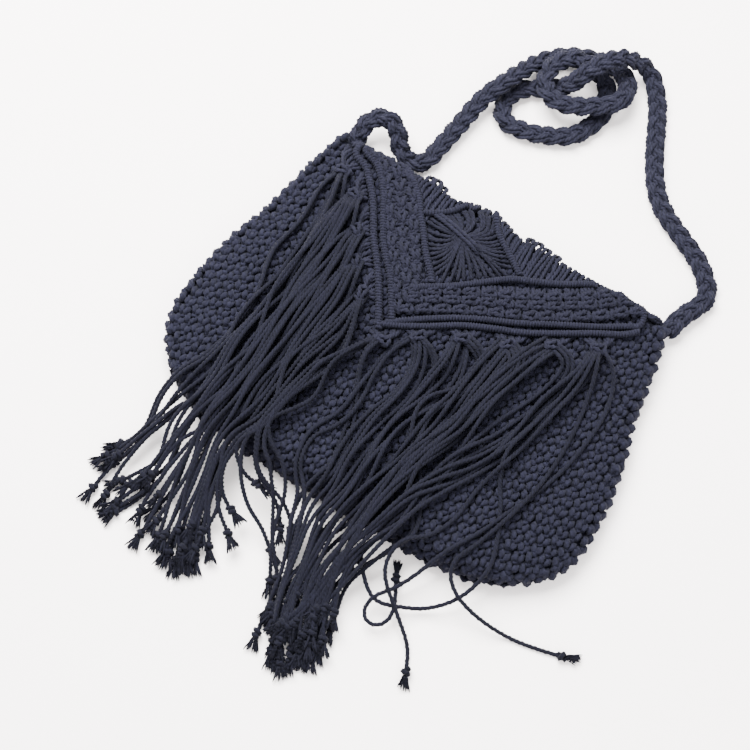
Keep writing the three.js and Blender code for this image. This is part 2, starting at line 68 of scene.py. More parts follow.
# The shoulder strap. Three strands, each of four soft cotton cords, are plaited flat into one limp
# braid about 13 mm wide, sewn into the pouch's seam at both ends of the mouth. It lies in loops above.
rng = np.random.default_rng(7)
strap_length = 772
strap_route = [
    (-107, 0.5, 8.5), (-107, 8, 9), (-105.5, 19, 16), (-97, 26, 18), (-87.5, 23.5, 15),
    (-81, 16.5, 10), (-73, 14, 5.5), (-64.5, 18, 5.5), (-61.5, 32, 5.5), (-55, 72, 10.5),
    (-49, 84.5, 15.4), (-44, 99, 13), (-36.5, 117.5, 5.6), (-22, 129.5, 5.5), (-4.5, 135.5, 5.5),
    (8.5, 135, 6.6), (18, 124.5, 12.5), (17.5, 111.5, 15.4), (-12, 92.5, 15.4), (-25, 96.5, 15.4),
    (-29, 111, 15.4), (-19.5, 123.5, 15.4), (-4, 124.5, 13), (6.5, 120.5, 5.8), (12.5, 104, 5.5),
    (2, 80.5, 5.5), (-36, 68, 5.5), (-43.5, 80, 5.5), (-37.5, 93, 5.5), (-23.5, 103, 5.5),
    (-13, 108, 14), (-5.5, 119, 25.3), (6, 135.5, 23.5), (22.5, 144, 8.5), (34.5, 134, 5.5),
    (69.5, 74.5, 5.5), (114, 49, 5.5), (126, 34, 5.5), (119, 12, 8), (117, 0.5, 8.5),
]


def unit(vectors):
    """Each vector divided by its own length."""
    return vectors / np.maximum(np.linalg.norm(vectors, axis=-1, keepdims=True), 1e-9)


def spaced(line, count):
    """A line's points moved to even spacing: each coordinate read off against the length run so far."""
    run = np.r_[0, np.cumsum(np.linalg.norm(np.diff(line, axis=0), axis=1))]
    return np.stack([np.interp(np.linspace(0, run[-1], count), run, column) for column in line.T], -1)


def smooth(points, count):
    """A smooth line through points: on each span the centripetal Catmull-Rom blend of the four points
    round it, whose knots are the square roots of the distances, moved to even spacing."""
    p = np.asarray(points, float)
    p = np.vstack([2 * p[0] - p[1], p, 2 * p[-1] - p[-2]])
    gap = np.sqrt(np.linalg.norm(np.diff(p, axis=0), axis=1))[:, None, None]
    k0, k1 = np.zeros_like(gap[:-2]), gap[:-2]
    k2, k3 = k1 + gap[1:-1], k1 + gap[1:-1] + gap[2:]
    t = k1 + (k2 - k1) * np.linspace(0, 1, 24, endpoint=False)[:, None]
    p0, p1, p2, p3 = (p[i:len(p) - 3 + i, None] for i in range(4))
    a1 = ((k1 - t) * p0 + (t - k0) * p1) / (k1 - k0)
    a2 = ((k2 - t) * p1 + (t - k1) * p2) / (k2 - k1)
    a3 = ((k3 - t) * p2 + (t - k2) * p3) / (k3 - k2)
    b1 = ((k2 - t) * a1 + (t - k0) * a2) / (k2 - k0)
    b2 = ((k3 - t) * a2 + (t - k1) * a3) / (k3 - k1)
    line = ((k2 - t) * b1 + (t - k1) * b2) / (k2 - k1)
    return spaced(np.vstack([line.reshape(-1, p.shape[1]), p[-2]]), count)


def rope(lines, radius, up=(0.0, 0.0, 1.0), turn=7.8, swell=0.22, painted_light_shift=0.0):
    """Three-ply cord round each line of a stack (cords, points, 3). Six corners stand round a point at
    the radius times 1 + swell cos 3a, and turn round the line once in every `turn` millimetres, so the
    three high ones draw the plies. The radius shrinks at the ends as the square root of the way in.
    Tone, from 0 to 1, is a half, more on the plies and on the upper side as painted highlight, less between
    and below as painted shade, a little more or less on each whole cord as the cord's own tone, and moved by a
    given shift of painted light and shade."""
    lines = np.asarray(lines, float)
    cords, count = lines.shape[:2]
    tangent = unit(np.gradient(lines, axis=1))
    side = unit(np.cross(tangent, np.broadcast_to(np.asarray(up, float), lines.shape)))
    over = np.cross(side, tangent)
    run = np.cumsum(np.linalg.norm(np.diff(lines, axis=1, prepend=lines[:, :1]), axis=2), axis=1)
    corner = np.arange(6)
    phase = rng.random((cords, 1, 1))
    angle = 2 * np.pi * (corner / 6 + run[..., None] / turn + phase)
    from_end = np.minimum(run, run[:, -1:] - run)
    tip_length = 1.2 * np.mean(radius)
    tip = np.sqrt(np.clip(from_end / tip_length, 0.12, 1))
    size = (np.asarray(radius) * tip)[..., None] * (1 + swell * np.cos(np.pi * corner))
    verts = lines[:, :, None] + (size * np.cos(angle))[..., None] * side[:, :, None]
    verts = verts + (size * np.sin(angle))[..., None] * over[:, :, None]
    # Painted light in the tone: ply crests and the upper side are paler as painted highlight, the grooves
    # between plies and the underside darker as painted shade; the per-cord part is the cord's own tone.
    painted_ply_light, painted_top_light, between_cords = 0.34, 0.2, 0.24
    tone_and_painted_light = 0.5 + painted_ply_light * np.cos(np.pi * corner) + painted_top_light * np.sin(angle)
    tone_and_painted_light = tone_and_painted_light + between_cords * (rng.random((cords, 1, 1)) - 0.5)
    tone_and_painted_light = np.clip(tone_and_painted_light + np.asarray(painted_light_shift)[..., None], 0, 1)
    first = (np.arange(cords)[:, None] * count + np.arange(count - 1)) * 6
    a = first[..., None] + corner
    b = first[..., None] + (corner + 1) % 6
    walls = np.stack([a, a + 6, b + 6, b], -1).reshape(-1, 4)
    around = np.broadcast_to(corner / 6, a.shape)
    along = np.broadcast_to(run[:, :-1, None], a.shape) / 10
    further = np.broadcast_to(run[:, 1:, None], a.shape) / 10
    wall_uv = np.stack([
        np.stack([around, along], -1), np.stack([around, further], -1),
        np.stack([around + 1 / 6, further], -1), np.stack([around + 1 / 6, along], -1),
    ], -2).reshape(-1, 4, 2)
    start = (np.arange(cords) * count * 6)[:, None, None]
    end = start + (count - 1) * 6
    lids = np.concatenate([
        start + np.array([[0, 1, 2, 3], [0, 3, 4, 5]]), end + np.array([[3, 2, 1, 0], [5, 4, 3, 0]]),
    ], 1).reshape(-1, 4)
    uv = np.vstack([wall_uv, np.zeros((len(lids), 4, 2))])
    return verts.reshape(-1, 3), np.vstack([walls, lids]), uv, tone_and_painted_light.reshape(-1)


def piece(name, parts, material, slot, *nodes):
    """One smooth-shaded object from parts of (corners in millimetres, quads, quad corners' UV, corners'
    tone and painted light): the parts' corners and quads one after another. It rides on the body and stands
    for its nodes."""
    shift = np.cumsum([0] + [len(part[0]) for part in parts[:-1]])
    verts = from_mouth(np.vstack([part[0] for part in parts]))
    faces = np.vstack([part[1] + n for part, n in zip(parts, shift)]).astype(np.int32)
    uvs = np.vstack([part[2] for part in parts]).reshape(-1)
    mesh = bpy.data.meshes.new(name)
    mesh.vertices.add(len(verts))
    mesh.vertices.foreach_set("co", verts.reshape(-1))
    mesh.loops.add(faces.size)
    mesh.loops.foreach_set("vertex_index", faces.reshape(-1))
    mesh.polygons.add(len(faces))
    mesh.polygons.foreach_set("loop_start", np.arange(0, faces.size, 4, dtype=np.int32))
    mesh.polygons.foreach_set("loop_total", np.full(len(faces), 4, dtype=np.int32))
    mesh.update(calc_edges=True)
    mesh.uv_layers.new(name="cord").data.foreach_set("uv", uvs)
    # Each corner's own tone together with its painted highlight and painted shade.
    tone_and_painted_light = np.concatenate([part[3] for part in parts])
    mesh.attributes.new("tone_and_painted_light", "FLOAT", "POINT").data.foreach_set("value", tone_and_painted_light)
    mesh.polygons.foreach_set("use_smooth", np.ones(len(faces), bool))
    mesh.validate()
    mesh.materials.append(material)
    made = bpy.data.objects.new(name, mesh)
    bpy.context.scene.collection.objects.link(made)
    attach(made, "root")
    if nodes:
        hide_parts(*nodes)
    return made


def cotton(name, deep, pale, fibre=0.5):
    """Matt dyed cotton: a cloudy noise in object space, fibres along the cord's own UV and the cord's tone
    with its painted highlight and painted shade mix a deeper and a paler blue, and the fibres stand out a
    little."""
    material = bpy.data.materials.new(name)
    material.use_nodes = True
    nodes, links = material.node_tree.nodes, material.node_tree.links
    surface = nodes["Principled BSDF"]
    surface.inputs["Roughness"].default_value = 0.88
    surface.inputs["Specular IOR Level"].default_value = 0.1
    surface.inputs["Sheen Weight"].default_value = 0.02
    surface.inputs["Sheen Roughness"].default_value = 0.5
    surface.inputs["Sheen Tint"].default_value = (0.7, 0.72, 0.9, 1)
    place = nodes.new("ShaderNodeTexCoord")
    cloud = nodes.new("ShaderNodeTexNoise")
    cloud.inputs["Scale"].default_value = 620
    cloud.inputs["Detail"].default_value = 3
    links.new(place.outputs["Object"], cloud.inputs["Vector"])
    stretch = nodes.new("ShaderNodeMapping")
    stretch.inputs["Scale"].default_value = (26, 5, 1)
    stretch.inputs["Rotation"].default_value = (0, 0, 0.35)
    links.new(place.outputs["UV"], stretch.inputs["Vector"])
    hairs = nodes.new("ShaderNodeTexNoise")
    hairs.inputs["Scale"].default_value = 1
    hairs.inputs["Detail"].default_value = 5
    hairs.inputs["Roughness"].default_value = 0.7
    links.new(stretch.outputs["Vector"], hairs.inputs["Vector"])
    grain = nodes.new("ShaderNodeMix")
    links.new(cloud.outputs["Fac"], grain.inputs["A"])
    links.new(hairs.outputs["Fac"], grain.inputs["B"])
    stark = nodes.new("ShaderNodeMapRange")
    stark.inputs["From Min"].default_value = 0.43
    stark.inputs["From Max"].default_value = 0.62
    links.new(grain.outputs["Result"], stark.inputs["Value"])
    # The attribute holds each corner's own tone with its painted highlight and painted shade.
    tone_and_painted_light = nodes.new("ShaderNodeAttribute")
    tone_and_painted_light.attribute_name = "tone_and_painted_light"
    both = nodes.new("ShaderNodeMix")
    both.inputs["Factor"].default_value = 0.5
    links.new(stark.outputs["Result"], both.inputs["A"])
    links.new(tone_and_painted_light.outputs["Fac"], both.inputs["B"])
    tint = nodes.new("ShaderNodeMix")
    tint.data_type = "RGBA"
    tint.inputs["A"].default_value = (*deep, 1)
    tint.inputs["B"].default_value = (*pale, 1)
    links.new(both.outputs["Result"], tint.inputs["Factor"])
    links.new(tint.outputs["Result"], surface.inputs["Base Color"])
    bump = nodes.new("ShaderNodeBump")
    bump.inputs["Strength"].default_value = fibre
    bump.inputs["Distance"].default_value = 0.0006
    links.new(hairs.outputs["Fac"], bump.inputs["Height"])
    links.new(bump.outputs["Normal"], surface.inputs["Normal"])
    return material


braid_turn = 27.0
strand_sway, strand_lift, strand_cord = 3.1, 1.9, 1.38
cord_places = [(-1.9, 0.0), (0.0, 1.15), (1.9, 0.0), (0.0, -1.3)]
strap_line = smooth(strap_route, 480)
strap_way = unit(np.gradient(strap_line, axis=0))
strap_side = unit(np.cross(strap_way, (0, 0, 1)))
strap_up = np.cross(strap_side, strap_way)
strap_run = np.linspace(0, strap_length, len(strap_line))
strap_cords = []
for strand in range(3):
    turned = (2 * np.pi * (strap_run / braid_turn + strand / 3))[:, None]
    middle = strap_line + strand_sway * np.sin(turned) * strap_side
    middle = middle + strand_lift * np.sin(2 * turned) * strap_up
    beside = unit(np.cross(unit(np.gradient(middle, axis=0)), strap_up))
    strap_cords += [middle + out * beside + rise * strap_up for out, rise in cord_places]
navy_braid = cotton("navy_braid", (0.0021, 0.0021, 0.0047), (0.0133, 0.0134, 0.0240))
strap = piece("strap_braid", [rope(strap_cords, strand_cord)], navy_braid, "braid", "strap")

# The pouch. A flat bag crocheted in thick cotton cord, its wall about 5 mm of stitches, widest low
# down and rounded at the bottom corners. First the close wall itself, with the rows of its inside.
pouch_height, pouch_half_width, pouch_wall = 195.0, 142.0, 5.0
pouch_thickness, mouth_thickness, seam_height = 24.0, 17.0, 8.0
bottom_round, back_round, plumpness = 16.0, 11.0, 3.2
under_stitches, inside_relief, inside_pitch, inside_rows, plain_bottom = 3.0, 0.7, 6.8, 5.9, 12
pouch_outline = np.array([
    (0.0, 0.824), (0.14, 0.866), (0.29, 0.9), (0.43, 0.955), (0.56, 0.988), (0.69, 1.0),
    (0.8, 0.972), (0.885, 0.88), (0.943, 0.75), (0.975, 0.61), (1.0, 0.4),
])


def half_width(down):
    """Half the pouch's width at a share of its height below the mouth: a cubic through the rows of the
    outline, whose slope at a row is that of the line between the rows on either side."""
    key, share = pouch_outline.T
    slope = np.gradient(share) / np.gradient(key)
    down = np.clip(down, 0, 1)
    row = np.clip(np.searchsorted(key, down) - 1, 0, len(key) - 2)
    span = key[row + 1] - key[row]
    t = (down - key[row]) / span
    rise = t * t * (3 - 2 * t)
    bend = span * t * (1 - t) * (slope[row] * (1 - t) - slope[row + 1] * t)
    return pouch_half_width * (share[row] * (1 - rise) + share[row + 1] * rise + bend)


def section(depth, inset):
    """Half width, lowest and highest level of the pouch's skin at a depth, moved in by an inset: the
    thickness grows over the first two fifths, and a quarter circle closes it at the bottom."""
    swell = np.clip(depth / (0.4 * pouch_height), 0, 1)
    thickness = mouth_thickness + (pouch_thickness - mouth_thickness) * swell * (2 - swell)
    left = np.clip((pouch_height - inset - depth) / (bottom_round - inset), 0, 1)
    closing = np.sqrt(1 - (1 - left) ** 2)
    half = half_width((depth + inset / 2) / pouch_height) - inset
    lowest = inset + (seam_height - inset) * (1 - closing)
    highest = seam_height + (thickness - inset - seam_height) * closing
    return half, lowest, highest


def crown(across):
    """Superellipse of the front across the pouch: (1 - |x|^p)^(1/p)."""
    return (1 - np.clip(np.abs(across), 0, 1) ** plumpness) ** (1 / plumpness)


def front(x, y):
    """Level of the pouch's front at a place, and 0 beside the pouch."""
    depth = np.clip(-y, 0, None)
    half, _, top = section(np.clip(depth, 0, pouch_height), 0.0)
    level = seam_height + (top - seam_height) * crown(x / half)
    return np.where((depth > pouch_height) | (np.abs(x) > half), 0.0, level)


def wall_rings(inset, relief, rows=60, corners=120):
    """Rings of the pouch's skin from mouth to bottom: round each, the superellipse of the front and the
    rounded flat of the back, with rows of stitches standing out by a product of two sines."""
    depth = (pouch_height - inset) * np.sin(np.linspace(0, np.pi / 2, rows))[:, None]
    angle = 2 * np.pi * np.arange(corners) / corners
    half, low, high = section(depth, inset)
    across = np.cos(angle)
    flat = 1 - back_round / half
    over = np.clip((np.abs(across) - flat) / (1 - flat), 0, 1)
    level = np.where(np.sin(angle) >= 0, seam_height + (high - seam_height) * crown(across),
                     seam_height - (seam_height - low) * np.sqrt(1 - over ** 2))
    x = half * across
    lumps = relief * np.sin(x * 2 * np.pi / inside_pitch) * np.sin(depth * 2 * np.pi / inside_rows)
    lumps = lumps * (depth < pouch_height - plain_bottom)
    return np.stack([x, -depth + 0 * x, level + lumps], -1)


outer_wall = wall_rings(under_stitches, 0.0)
inner_wall = wall_rings(pouch_wall, inside_relief)
rings = np.concatenate([inner_wall[::-1], outer_wall])
ring_count, corner_count = rings.shape[:2]
i, j = np.meshgrid(np.arange(ring_count - 1), np.arange(corner_count), indexing="ij")
next_j = (j + 1) % corner_count
quads = np.stack([i * corner_count + j, i * corner_count + next_j, (i + 1) * corner_count + next_j,
                  (i + 1) * corner_count + j], -1).reshape(-1, 4)
quad_uv = rings.reshape(-1, 3)[quads][..., :2] / 10
navy_crochet = cotton("navy_crochet", (0.0012, 0.0012, 0.0032), (0.0100, 0.0101, 0.0203), 0.8)
# The wall shows in the gaps between the stitches, and its low even tone there is painted shade.
wall_painted_shade = np.full(rings.size // 3, 0.1)
piece("pouch_wall", [(rings.reshape(-1, 3), quads, quad_uv, wall_painted_shade)], navy_crochet, "crochet", "pouch")

# The pouch's stitches. Each is three short fat lobes of thick cotton cord, two leaning on each other over
# one that lies across, in columns a half stitch apart. Rows of fatter lobes along its edge bind the seam.
stitch_pitch, column_pitch, yarn_radius = 6.5, 7.0, 1.95
first_stitch, edge_room, front_sink, back_sink = 2.5, 2.6, 4.3, 7.5
stitch_loops = [(-1.75, 0.9, 24.0, 6.4, 4.2), (1.75, 0.9, -22.0, 6.4, 4.5), (0.1, -2.6, 84.0, 4.8, 2.7)]
edge_pitch, edge_radius, edge_sink, edge_inset = 7.8, 3.2, 2.5, 1.9
edge_loops = [
    (0.0, 3.2, 86.0, 4.4, 3.0), (0.2, -2.6, 86.0, 4.4, 2.8),
    (-3.9, 6.4, 88.0, 6.0, 1.2), (-3.9, -4.8, 88.0, 6.0, 1.2),
]


def loops(places, forward, outward, table, radius, sink, points=6):
    """Short arcs of cord at places on a surface: each row of the table gives a shift to the side and
    forward, a turn in degrees, a length and a height, and the arc stands at height times 1 - |t|^2.2,
    less the depth it is sunk to, all a little uneven. The top of an arc is painted paler, a painted highlight,
    and its sunk ends darker, a painted shade."""
    side = np.cross(forward, outward)
    shift, ahead, lean, length, height = np.array(table).T[:, None, :, None]
    count = (len(places), len(table), 1)
    uneven = lambda size: size * rng.standard_normal(count)
    t = np.linspace(-1, 1, points)
    lean = np.radians(lean + uneven(5.0))
    reach = 0.5 * length * (1 + uneven(0.05)) * t
    a = shift + uneven(0.18) + np.sin(lean) * reach
    b = ahead + uneven(0.2) + np.cos(lean) * reach
    h = height * (1 - np.abs(t) ** 2.2) - sink + uneven(0.2)
    axes = (side[:, None, None], forward[:, None, None], outward[:, None, None])
    lines = places[:, None, None] + a[..., None] * axes[0] + b[..., None] * axes[1] + h[..., None] * axes[2]
    lines = lines.reshape(-1, len(t), 3)
    ups = np.broadcast_to(axes[2], (len(places), len(table), len(t), 3)).reshape(lines.shape)
    # Painted highlight on the top of each arc and painted shade at its sunk ends.
    painted_crest_light = np.broadcast_to(0.25 - 0.65 * t ** 2, lines.shape[:2])
    return rope(lines, radius, ups, turn=12.0, swell=0.13, painted_light_shift=painted_crest_light)


columns = np.arange(-20, 21)
steps = np.arange(0, 33)
column, step = np.meshgrid(columns, steps, indexing="ij")
x = column * column_pitch + 0.25 * rng.standard_normal(column.shape)
y = -first_stitch - (step + 0.5 * (column % 2)) * stitch_pitch + 0.25 * rng.standard_normal(column.shape)
kept = (-y < pouch_height - edge_room) & (np.abs(x) < half_width(-y / pouch_height) - edge_room)
x, y = x[kept], y[kept]
slope_x = np.clip(front(x + 0.5, y) - front(x - 0.5, y), -2, 2)
slope_y = np.clip(front(x, y + 0.5) - front(x, y - 0.5), -2, 2)
normal = unit(np.stack([-slope_x, -slope_y, np.ones_like(x)], -1))
downward = unit(np.cross(normal, (1.0, 0.0, 0.0)))
spots = np.stack([x, y, front(x, y)], -1)
for name, half in (("stitches_left", x < 0), ("stitches_right", x >= 0)):
    stitches = loops(spots[half], -downward[half], normal[half], stitch_loops, yarn_radius, front_sink)
    piece(name, [stitches], navy_crochet, "crochet")
back_spots = np.stack([x, y, 0 * x], -1)
back_forward, back_outward = np.zeros_like(normal) + (0, 1, 0), np.zeros_like(normal) - (0, 0, 1)
stitches = loops(back_spots, back_forward, back_outward, stitch_loops, yarn_radius, back_sink, 5)
piece("stitches_back", [stitches], navy_crochet, "crochet")
down = np.linspace(0, 1, 400)
edge = np.concatenate([
    np.stack([-half_width(down), -pouch_height * down], -1), [(0, -pouch_height)],
    np.stack([half_width(down[::-1]), -pouch_height * down[::-1]], -1),
])
edge_length = np.linalg.norm(np.diff(edge, axis=0), axis=1).sum()
edge = spaced(edge, int(edge_length / edge_pitch))
edge_way = unit(np.gradient(edge, axis=0))
edge_out = np.stack([edge_way[:, 1], -edge_way[:, 0], 0 * edge_way[:, 0]], -1)
edge_spots = np.column_stack([edge - edge_inset * edge_out[:, :2], np.full(len(edge), seam_height + 0.5)])
edge_up = np.zeros((len(edge), 3)) + (0, 0, 1)
stitches = loops(edge_spots, edge_up, edge_out, edge_loops, edge_radius, edge_sink, 7)
piece("edge_stitches", [stitches], navy_crochet, "crochet")

# The flap's cords. The flap is tied to the back panel's top edge, comes over the mouth and lies on the
# front, a V of knotted cotton cord 2.5 mm thick. Loose cords run over the fold, some in small loops.
cord_radius = 1.27
flap_lift, fold_run, fold_spacing, fold_clearance = 2.1, 28.0, 1.45, 1.4
fold_outline = np.array([
    (-104, 1), (-60, 4), (-50, 5), (-34, 1.4), (-26, 5.2), (-18, 7.8), (-5, 8.2), (7.6, 4.2), (12, 1.2),
    (20, 2.4), (40, 1.7), (60, 1.2), (76, 2.6), (91, 1.8), (104, 0.5),
])
inner_left = [
    (-62, 0.1), (-52.8, -7.9), (-45, -18.2), (-36.4, -28.6), (-28.7, -38.7), (-19.6, -47.9),
    (-15.8, -52.9),
]
inner_right = [
    (-25, -62.5), (-16.5, -56.3), (-3.8, -47.5), (9.4, -36.2), (23.2, -24.6), (34.3, -19.1),
    (50, -10.7), (60.2, -3.5),
]
fold_loops = [(-53, 3.0), (-48, 3.6), (-43, 2.6), (19, 3.0), (25, 3.6), (31, 2.8), (38, 2.4)]
diamond_top = np.array([(-41, -15), (-30, -4), (-20, 3), (-6, 4), (3.3, -4.9), (12, -10.7), (24.2, -18)])
navy_macrame = cotton("navy_macrame", (0.0017, 0.0017, 0.0039), (0.0103, 0.0103, 0.0199))


def drape(x, s, lift):
    """Places on the flap and the way up from them. Below the fold, s is down the front and the level is
    the front's plus the lift. Over it, s runs round half an oval from the front's level to the back."""
    middle = front(x, 0 * s) / 2
    angle = np.pi * np.clip(s / fold_run, 0, 1)
    tall = np.where(angle < np.pi / 2, middle + lift, middle - fold_clearance)
    reach = np.interp(x, *fold_outline.T) + lift
    over = np.stack([x, reach * np.sin(angle), middle + tall * np.cos(angle)], -1)
    flat = np.stack([x, np.minimum(s, 0), front(x, np.minimum(s, 0)) + lift], -1)
    folded = (s > 0)[..., None]
    return np.where(folded, over, flat), np.stack([0 * x, np.sin(angle), np.cos(angle)], -1)


def weights(rows, count):
    """Weights that carry a few points to many on a smooth line through them: for each place, the
    uniform Catmull-Rom weights of the four points round it."""
    t = np.linspace(0, rows - 1, count)
    i = np.minimum(t.astype(int), rows - 2)
    f = t - i
    four = np.stack([
        -f + 2 * f**2 - f**3, 2 - 5 * f**2 + 3 * f**3, f + 4 * f**2 - 3 * f**3, f**3 - f**2,
    ], -1) / 2
    around = np.clip(i[:, None] + np.arange(-1, 3), 0, rows - 1)
    table = np.zeros((count, rows))
    np.add.at(table, (np.arange(count)[:, None], around), four)
    return table


def laid(controls, count, radius=cord_radius, painted_light_shift=0.0):
    """Cords laid on the flap through a few (x, s, lift) points each, all to the same count of points, their
    tone moved by a given shift of painted light and shade.
    """
    flat = weights(np.shape(controls)[1], count) @ np.asarray(controls, float)
    places, ups = drape(flat[..., 0], flat[..., 1], flat[..., 2] + flap_lift)
    return rope(places, radius, ups, painted_light_shift=painted_light_shift)


fold_x = np.arange(-99, 103, fold_spacing)
fold_x = fold_x + 0.3 * rng.standard_normal(len(fold_x))
at_left, at_right = (np.interp(fold_x, *np.transpose(route)) for route in (inner_left, inner_right))
fold_end = np.where(fold_x < -24, at_left, at_right)
fold_end = np.where((fold_x < -62) | (fold_x > 62), 3.0, fold_end)
fold_end = np.where((fold_x > -41) & (fold_x < 24), np.interp(fold_x, *diamond_top.T), fold_end)
share = np.linspace(1, 0, 5)[:, None]
fold_s = fold_end * share + (fold_run - 1) * (1 - share)
bow = 0.7 * rng.standard_normal((5, len(fold_x)))
fold_level = -0.5 + 0.4 * rng.random(bow.shape) - 2.0 * (np.arange(len(fold_x)) % 2)
fold_cords = np.stack([fold_x + bow, fold_s, fold_level], -1).swapaxes(0, 1)
loop_cords = [
    [(x - 1.5, 3, 0), (x - 1.9, 9, 0.7 * tall), (x, 12, tall), (x + 1.9, 9, 0.7 * tall), (x + 1.5, 3, 0)]
    for x, tall in fold_loops
]
piece("fold_cords", [laid(fold_cords, 22), laid(loop_cords, 16)], navy_macrame, "macrame", "flap_fold")

# The flap's ridges. Rows of double half hitches round a cord: close coils 4.5 mm thick that edge the V
# twice, edge its inner side once, and frame the diamond.
ridge_pitch, ridge_cord, ridge_lift, coil_points = 1.8, 1.2, 1.3, 9
ridge_cores = [1.25, 1.2, 1.0, 0.95, 1.15, 1.05, 0.9, 1.0]
ridges = [
    [
        (-101, 9), (-99.8, -4.5), (-89.4, -9.5), (-81.8, -17), (-74.1, -25.9), (-59.3, -48.3),
        (-50.7, -58.5), (-40.4, -72.8), (-27, -94.5),
    ],
    [
        (-97, 6), (-95, 0), (-86, -3.5), (-78.2, -10), (-70.2, -20), (-60.9, -35.1), (-50.9, -49.8),
        (-38.5, -62.9), (-23.6, -85),
    ],
    [
        (-31, -92.5), (-26.5, -90.4), (-6.4, -79.3), (13.2, -66.2), (29.5, -58.1), (46.2, -50.5),
        (66.1, -38), (81.2, -27.7), (98, -16.9), (103, -11),
    ],
    [
        (-25.5, -88.5), (-14.8, -80), (4.5, -66.2), (19.8, -57.2), (38.5, -48), (56.1, -37.6),
        (81.5, -22.5), (95, -13), (101.5, -8), (101, -2), (96, 5),
    ],
    [(-68, 6), *inner_left],
    [*inner_right, (67, 0.5)],
    [(-44, -16.5), (-36, -11), (-30, -5.5), (-27, -0.5), (-25, 3)],
    [(-8, 8), (-4, 2.5), (3.3, -4.9), (12, -10.7), (26, -20)],
]


def coil(route, core_radius):
    """A cord wound close round a core on the flap: round the core's line it stands at the core's radius,
    once round in each pitch."""
    flat = smooth(route, 200)
    core, up = drape(flat[:, 0], flat[:, 1], np.full(len(flat), flap_lift + ridge_lift))
    long = np.linalg.norm(np.diff(core, axis=0), axis=1).sum()
    count = int(coil_points * long / ridge_pitch)
    key, at = np.linspace(0, 1, len(flat)), np.linspace(0, 1, count)
    core = np.stack([np.interp(at, key, column) for column in core.T], -1)
    up = unit(np.stack([np.interp(at, key, column) for column in up.T], -1))
    way = unit(np.gradient(core, axis=0))
    side = unit(np.cross(way, up))
    angle = (2 * np.pi * long / ridge_pitch * at)[:, None]
    out = np.cos(angle) * side + np.sin(angle) * np.cross(side, way)
    return rope([core + core_radius * out], ridge_cord, [out], turn=9.0, swell=0.1)


piece("flap_ridges", [coil(*ridge) for ridge in zip(ridges, ridge_cores)], navy_macrame, "macrame", "flap")

# The knot band between the ridges. Square knots of four cords, in rows a half knot apart: two cords run
# through the middle of each and the outer two cross over them twice, and a small hole stays between knots.
flap_left, flap_right, flap_drop, flap_tip = 101.0, 104.0, 92.0, -27.0
left_arm = np.array([
    (-0.1, -0.03), (0.0, 0.03), (0.14, 0.1), (0.25, 0.19), (0.36, 0.3), (0.56, 0.525), (0.82, 0.79),
    (1.0, 1.0),
])
right_arm = np.array([
    (-0.1, -0.03), (0.0, 0.09), (0.16, 0.29), (0.29, 0.42), (0.43, 0.54), (0.69, 0.725),
    (0.85, 0.86), (1.0, 1.0),
])
band_inner_top, band_inner_tip, band_full, ridge_room = 32.0, 26.0, 31.5, 6.5
knot_cord, band_cord, fold_limit = 1.48, 1.4, 15
knot_pitch = {-1: 9.6, 1: 10.9}
knot_rows = {-1: ((10.8, 0), (18.8, 1), (26.6, 0)), 1: ((11.2, 0), (18.6, 1), (24.6, 1))}
knot_cords = [
    [(-3.7, 3.1, -0.2), (-2.5, 2.5, 1.2), (0.0, 1.5, 2.0), (2.4, 0.9, 1.6), (3.7, 0.6, 0.3)],
    [(3.7, -1.4, 0.0), (2.5, -1.2, 1.2), (0.0, -1.6, 2.0), (-2.4, -2.1, 1.3), (-3.7, -3.0, -0.2)],
    [(-2.6, 3.6, -0.2), (-4.0, 1.6, 0.7), (-4.2, 0.0, 1.1), (-3.8, -1.6, 0.7), (-2.4, -3.6, -0.2)],
    [(2.4, 3.6, -0.2), (3.8, 1.6, 0.7), (4.2, 0.0, 1.1), (4.0, -1.6, 0.7), (2.6, -3.6, -0.2)],
]
knot_across, knot_down, knot_rise = np.moveaxis(np.array(knot_cords), -1, 0)
band_cords = np.array([-4.0, -1.25, 1.25, 4.0])
knot_tightness = 0.74


def arm(side, along, inset):
    """A place on an arm of the V, moved in from its edge: the edge from the arm's table, plus the inset
    times the edge's direction turned a quarter."""
    table, top = (left_arm, -flap_left) if side < 0 else (right_arm, flap_right)
    place = lambda at: np.stack([top + (flap_tip - top) * at, -flap_drop * np.interp(at, *table.T)], -1)
    way = unit(place(along + 0.06) - place(along - 0.06))
    return place(along) + inset[..., None] * np.stack([way[..., 1] * side, -way[..., 0] * side], -1)


def on_band(side, middles, across, inset, lift):
    """Cords of the band: for each middle, points a way across from it and in from the edge. The insets
    shrink with the band's width, and the arm's other side and what lies past the fold are left out."""
    long = np.linalg.norm(np.diff(arm(side, np.linspace(0, 1, 60), np.zeros(60)), axis=0), axis=1).sum()
    across, inset, lift = np.broadcast_arrays(across, inset, lift)
    uneven = 0.3 * rng.standard_normal((2, len(middles), *across.shape))
    along = (middles[:, None, None] + across + uneven[0]) / long
    width = band_inner_top + (band_inner_tip - band_inner_top) * along
    scale = (width - ridge_room) / (band_full - ridge_room)
    flat = arm(side, along, ridge_room + (inset - ridge_room) * scale + uneven[1])
    flat[..., 1] = np.minimum(flat[..., 1], fold_limit)
    levels = np.broadcast_to(lift, along.shape)[..., None]
    lines = np.concatenate([flat, levels], -1).reshape(-1, across.shape[1], 3)
    centre = lines[:, across.shape[1] // 2]
    on_side = side * (centre[:, 0] - (flap_tip + 0.15 * (centre[:, 1] + flap_drop))) > 0
    return lines[on_side & (lines[:, :, 1].min(1) < fold_limit - 1)]


